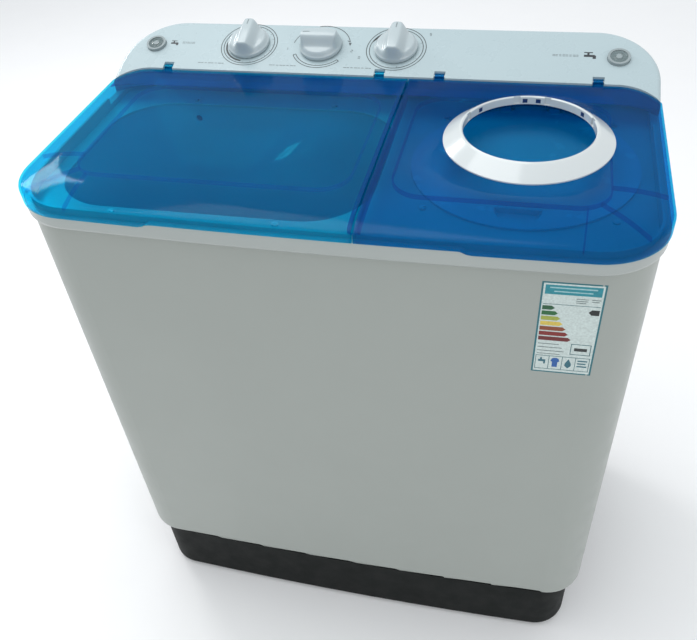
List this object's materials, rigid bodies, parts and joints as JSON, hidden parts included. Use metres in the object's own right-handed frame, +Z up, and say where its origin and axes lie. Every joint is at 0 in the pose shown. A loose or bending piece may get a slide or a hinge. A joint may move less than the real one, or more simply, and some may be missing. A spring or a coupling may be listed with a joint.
{
  "type": "twin tub washer",
  "caption": "Semi-automatic twin tub washing machine with hinged clear lids, a sloped control panel, a wash tub with a pulsator and a spin basket.",
  "frame": {"origin": "on the floor, at the centre of the footprint of the whole machine", "axes": "+X to the spinner side, +Y to the back, +Z up; the front faces -Y"},
  "size_m": [0.735, 0.43, 0.8457],
  "materials": {
    "base_plastic": "moulded, fine matt grain",
    "foot_rubber": "matt",
    "cabinet_plastic": "smooth satin moulding",
    "cover_steel": "painted",
    "zinc_steel": "zinc plated",
    "deck_plastic": "smooth",
    "tub_plastic": "smooth",
    "filter_plastic": "satin",
    "lid_tint": "clear blue moulding, glossy",
    "ring_plastic": "glossy",
    "safety_lid_plastic": "satin, slightly clear",
    "panel_plastic": "glossy",
    "timer_case": "satin",
    "knob_plastic": "glossy",
    "shaft_steel": "turned",
    "inlet_plastic": "slightly clear",
    "hose_rubber": "smooth grey",
    "pulsator_plastic": "smooth",
    "housing_alloy": "die cast",
    "bush_brass": "sintered",
    "seal_rubber": "matt",
    "motor_steel": "painted",
    "valve_plastic": "satin",
    "capacitor_case": "satin"
  },
  "bodies": {
    "casing": {"base": "base_plastic", "rubber_feet": "foot_rubber", "cabinet": "cabinet_plastic", "back_cover": "cover_steel", "casing_screws": "zinc_steel", "drive_bolts": "zinc_steel", "lid_hinge_pins": "zinc_steel", "motor_plate": "zinc_steel", "spin_motor_plate": "zinc_steel", "brake_pivot": "zinc_steel", "safety_lid_hinge": "zinc_steel", "top_deck": "deck_plastic", "wash_tub": "tub_plastic", "spin_tub": "tub_plastic", "overflow_filter_cover": "filter_plastic", "control_panel": "panel_plastic", "wash_timer": "timer_case", "drain_selector": "timer_case", "spin_timer": "timer_case", "inlet_sockets": "inlet_plastic", "inlet_caps": "inlet_plastic", "wash_water_pipe": "hose_rubber", "spin_water_pipe": "hose_rubber", "drain_hose": "hose_rubber", "spin_drain_hose": "hose_rubber", "shaft_housing": "housing_alloy", "shaft_bushes": "bush_brass", "spin_bearing": "bush_brass", "shaft_seal": "seal_rubber", "drive_belt": "seal_rubber", "spin_bellows_seal": "seal_rubber", "spin_motor_dampers": "seal_rubber", "cord_gland": "seal_rubber", "wash_motor": "motor_steel", "spin_motor": "motor_steel", "drain_valve": "valve_plastic", "drain_outlet": "valve_plastic", "capacitor": "capacitor_case"},
    "wash_lid": {"wash_lid": "lid_tint"},
    "spin_lid": {"spin_lid": "lid_tint", "spin_lid_ring": "ring_plastic", "spin_lid_window": "lid_tint"},
    "safety_lid": {"spin_safety_lid": "safety_lid_plastic"},
    "wash_timer_knob": {"wash_timer_knob": "knob_plastic", "wash_timer_shaft": "shaft_steel"},
    "selector_knob": {"selector_knob": "knob_plastic", "selector_shaft": "shaft_steel"},
    "spin_timer_knob": {"spin_timer_knob": "knob_plastic", "spin_timer_shaft": "shaft_steel"},
    "pulsator": {"pulsator": "pulsator_plastic", "pulsator_shaft": "shaft_steel", "wash_pulley": "housing_alloy"},
    "wash_motor_rotor": {"wash_motor_rotor": "shaft_steel", "motor_pulley": "housing_alloy"},
    "spin_basket": {"spin_basket": "tub_plastic", "spin_shaft": "shaft_steel", "brake_drum": "housing_alloy", "spin_motor_rotor": "shaft_steel"},
    "drain_plug": {"drain_plug": "seal_rubber"},
    "brake_lever": {"brake_lever": "zinc_steel"}
  },
  "joints": [
    {"name": "wash_lid_hinge", "type": "hinge", "parent": "casing", "child": "wash_lid", "pos_m": [-0.1425, 0.13, 0.795], "axis": [-1, 0, 0], "range_deg": [0, 95]},
    {"name": "spin_lid_hinge", "type": "hinge", "parent": "casing", "child": "spin_lid", "pos_m": [0.212, 0.13, 0.795], "axis": [-1, 0, 0], "range_deg": [0, 95]},
    {"name": "safety_lid_hinge", "type": "hinge", "parent": "casing", "child": "safety_lid", "pos_m": [0.212, 0.11, 0.7679], "axis": [-1, 0, 0], "range_deg": [0, 85.5]},
    {"name": "wash_timer_turn", "type": "hinge", "parent": "casing", "child": "wash_timer_knob", "pos_m": [-0.183, 0.17184, 0.81234], "axis": [0, 0.3173, -0.9483], "range_deg": [0, 300]},
    {"name": "selector_turn", "type": "hinge", "parent": "casing", "child": "selector_knob", "pos_m": [-0.078, 0.17184, 0.81234], "axis": [0, 0.3173, -0.9483], "range_deg": [0, 90]},
    {"name": "spin_timer_turn", "type": "hinge", "parent": "casing", "child": "spin_timer_knob", "pos_m": [0.027, 0.17184, 0.81234], "axis": [0, 0.3173, -0.9483], "range_deg": [0, 280]},
    {"name": "pulsator_spin", "type": "hinge", "parent": "casing", "child": "pulsator", "pos_m": [-0.1425, -0.0415, 0.3], "axis": [0, 0, 1], "continuous": true},
    {"name": "wash_motor_spin", "type": "hinge", "parent": "casing", "child": "wash_motor_rotor", "pos_m": [-0.274, 0.045, 0.26], "axis": [0, 0, 1], "continuous": true},
    {"name": "spin_basket_spin", "type": "hinge", "parent": "casing", "child": "spin_basket", "pos_m": [0.212, -0.025, 0.3], "axis": [0, 0, 1], "continuous": true},
    {"name": "drain_plug_lift", "type": "slide", "parent": "casing", "child": "drain_plug", "axis": [0, 0, 1], "range_m": [0, 0.012]},
    {"name": "brake_lever_swing", "type": "hinge", "parent": "casing", "child": "brake_lever", "pos_m": [0.267, -0.049, 0.21], "axis": [0, 0, 1], "range_deg": [0, 3]}
  ],
  "couplings": [
    {"joint": "safety_lid_hinge", "follows": "spin_lid_hinge", "ratio": 0.9},
    {"joint": "brake_lever_swing", "follows": "spin_lid_hinge", "ratio": 0.031579},
    {"joint": "drain_plug_lift", "follows": "selector_turn", "m_per_rad": 0.0076394},
    {"joint": "wash_motor_spin", "follows": "pulsator_spin", "ratio": 3.4771}
  ]
}
